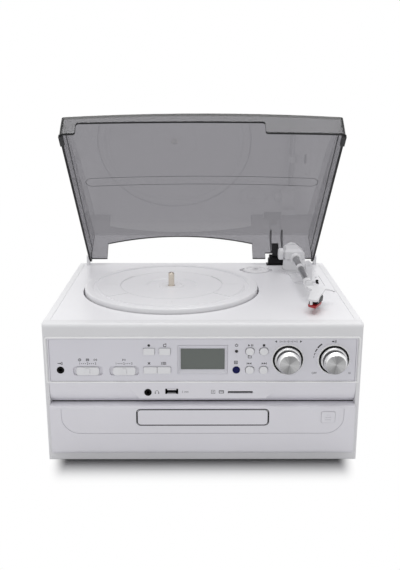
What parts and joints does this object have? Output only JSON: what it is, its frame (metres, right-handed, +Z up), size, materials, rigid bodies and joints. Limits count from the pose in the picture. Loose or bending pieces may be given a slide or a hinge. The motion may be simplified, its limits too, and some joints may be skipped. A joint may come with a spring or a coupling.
{
  "type": "stereo music centre",
  "caption": "Tabletop music centre with record deck, disc tray, radio controls and hinged smoked dust cover, shown open.",
  "frame": {"origin": "centre of the cabinet's footprint, at the underside of the rubber feet", "axes": "+X to the right seen from the front, +Y to the back, +Z up"},
  "size_m": [0.34, 0.3061, 0.3743],
  "materials": {
    "white_plastic": "satin",
    "cabinet_board": "satin paint on board",
    "frame_silver": "satin",
    "fascia_plastic": "satin",
    "plate_silver": "satin",
    "knob_metal": "brushed",
    "display": "matte",
    "lens_navy": "gloss",
    "lamp_red": "gloss",
    "smoked_cover": "gloss",
    "black_plastic": "satin",
    "rubber_black": "matte",
    "circuit_green": "satin",
    "steel": "satin",
    "spindle_metal": "polished",
    "tube_metal": "satin",
    "brass": "satin",
    "stylus_red": "gloss",
    "panel_grey": "matte"
  },
  "bodies": {
    "cabinet": {"front_frame": "frame_silver", "side_panel_left": "cabinet_board", "side_panel_right": "cabinet_board", "base_panel": "panel_grey", "rear_panel": "panel_grey", "top_deck": "white_plastic", "front_fascia": "fascia_plastic", "control_plate": "plate_silver", "lcd_bezel": "frame_silver", "lcd_window": "display", "power_led": "lamp_red", "ir_lens": "lens_navy", "knob_collars": "white_plastic", "front_board": "circuit_green", "phone_jacks": "black_plastic", "usb_port": "steel", "sd_socket": "black_plastic", "cd_drive_chassis": "black_plastic", "spindle": "spindle_metal", "drive_belt": "rubber_black", "motor": "steel", "arm_base": "white_plastic", "arm_rest": "white_plastic", "hinge_posts": "white_plastic", "friction_hinge": "black_plastic", "speakers": "black_plastic", "main_board": "circuit_green", "power_transformer": "steel", "rubber_feet": "rubber_black", "rear_sockets": "black_plastic"},
    "lid": {"dust_cover": "smoked_cover", "hinge_leaf": "black_plastic", "lid_bumpers": "rubber_black"},
    "platter": {"platter": "white_plastic"},
    "motor_pulley": {"motor_pulley": "brass"},
    "arm_turret": {"arm_turret": "white_plastic"},
    "tonearm": {"arm_housing": "white_plastic", "arm_tube": "tube_metal", "arm_collar": "white_plastic", "head_shell": "white_plastic", "cartridge": "black_plastic", "stylus": "stylus_red"},
    "adapter_45": {"adapter_45": "white_plastic"},
    "speed_switch": {"speed_switch": "black_plastic"},
    "function_slider": {"function_slider": "white_plastic"},
    "band_slider": {"band_slider": "white_plastic"},
    "tuning_knob": {"tuning_knob": "knob_metal"},
    "volume_knob": {"volume_knob": "knob_metal"},
    "cd_tray": {"cd_tray": "black_plastic", "tray_front": "white_plastic"},
    "tray_gear": {"tray_gear": "white_plastic"},
    "button_record": {"button_record": "white_plastic"},
    "button_mode": {"button_mode": "white_plastic"},
    "button_delete": {"button_delete": "white_plastic"},
    "button_preset": {"button_preset": "white_plastic"},
    "button_play": {"button_play": "white_plastic"},
    "button_stop": {"button_stop": "white_plastic"},
    "button_back": {"button_back": "white_plastic"},
    "button_next": {"button_next": "white_plastic"},
    "button_eject": {"button_eject": "white_plastic"}
  },
  "joints": [
    {"name": "lid_hinge", "type": "hinge", "parent": "cabinet", "child": "lid", "pos_m": [0, 0.131, 0.171], "axis": [-1, 0, 0], "range_deg": [-45.3, 0]},
    {"name": "platter_spin", "type": "hinge", "parent": "cabinet", "child": "platter", "pos_m": [-0.0377, 0.0035, 0.165], "axis": [0, 0, 1], "continuous": true},
    {"name": "motor_pulley_spin", "type": "hinge", "parent": "cabinet", "child": "motor_pulley", "pos_m": [-0.10487, 0.05053, 0.156], "axis": [0, 0, 1], "continuous": true},
    {"name": "tonearm_swing", "type": "hinge", "parent": "cabinet", "child": "arm_turret", "pos_m": [0.1248, 0.094, 0.165], "axis": [0, 0, -1], "range_deg": [0, 42]},
    {"name": "tonearm_lift", "type": "hinge", "parent": "arm_turret", "child": "tonearm", "pos_m": [0.1248, 0.094, 0.1845], "axis": [-1, 0, 0], "range_deg": [0, 6]},
    {"name": "adapter_45_lift", "type": "slide", "parent": "cabinet", "child": "adapter_45", "axis": [0, 0, 1], "range_m": [0, 0.012]},
    {"name": "speed_switch_slide", "type": "slide", "parent": "cabinet", "child": "speed_switch", "axis": [0, 1, 0], "range_m": [-0.006, 0.006]},
    {"name": "function_slider_slide", "type": "slide", "parent": "cabinet", "child": "function_slider", "axis": [1, 0, 0], "range_m": [-0.0034, 0.0034]},
    {"name": "band_slider_slide", "type": "slide", "parent": "cabinet", "child": "band_slider", "axis": [1, 0, 0], "range_m": [-0.0034, 0.0034]},
    {"name": "button_record_press", "type": "slide", "parent": "cabinet", "child": "button_record", "axis": [0, 1, 0], "range_m": [0, 0.0008], "stiffness_N_per_m": 400},
    {"name": "button_mode_press", "type": "slide", "parent": "cabinet", "child": "button_mode", "axis": [0, 1, 0], "range_m": [0, 0.0008], "stiffness_N_per_m": 400},
    {"name": "button_delete_press", "type": "slide", "parent": "cabinet", "child": "button_delete", "axis": [0, 1, 0], "range_m": [0, 0.0008], "stiffness_N_per_m": 400},
    {"name": "button_preset_press", "type": "slide", "parent": "cabinet", "child": "button_preset", "axis": [0, 1, 0], "range_m": [0, 0.0008], "stiffness_N_per_m": 400},
    {"name": "button_play_press", "type": "slide", "parent": "cabinet", "child": "button_play", "axis": [0, 1, 0], "range_m": [0, 0.0008], "stiffness_N_per_m": 400},
    {"name": "button_stop_press", "type": "slide", "parent": "cabinet", "child": "button_stop", "axis": [0, 1, 0], "range_m": [0, 0.0008], "stiffness_N_per_m": 400},
    {"name": "button_back_press", "type": "slide", "parent": "cabinet", "child": "button_back", "axis": [0, 1, 0], "range_m": [0, 0.0008], "stiffness_N_per_m": 400},
    {"name": "button_next_press", "type": "slide", "parent": "cabinet", "child": "button_next", "axis": [0, 1, 0], "range_m": [0, 0.0008], "stiffness_N_per_m": 400},
    {"name": "button_eject_press", "type": "slide", "parent": "cabinet", "child": "button_eject", "axis": [0, 1, 0], "range_m": [0, 0.0008], "stiffness_N_per_m": 400},
    {"name": "tuning_knob_turn", "type": "hinge", "parent": "cabinet", "child": "tuning_knob", "pos_m": [0.0909, -0.136, 0.1217], "axis": [0, 1, 0], "continuous": true},
    {"name": "volume_knob_turn", "type": "hinge", "parent": "cabinet", "child": "volume_knob", "pos_m": [0.14, -0.136, 0.1217], "axis": [0, 1, 0], "range_deg": [0, 300]},
    {"name": "cd_tray_slide", "type": "slide", "parent": "cabinet", "child": "cd_tray", "axis": [0, -1, 0], "range_m": [0, 0.125]},
    {"name": "tray_gear_turn", "type": "hinge", "parent": "cabinet", "child": "tray_gear", "pos_m": [0.046, -0.112, 0.055], "axis": [0, 0, 1], "range_deg": [-900, 5]}
  ],
  "couplings": [
    {"joint": "motor_pulley_spin", "follows": "platter_spin", "ratio": 15},
    {"joint": "tray_gear_turn", "follows": "cd_tray_slide", "rad_per_m": -125}
  ]
}
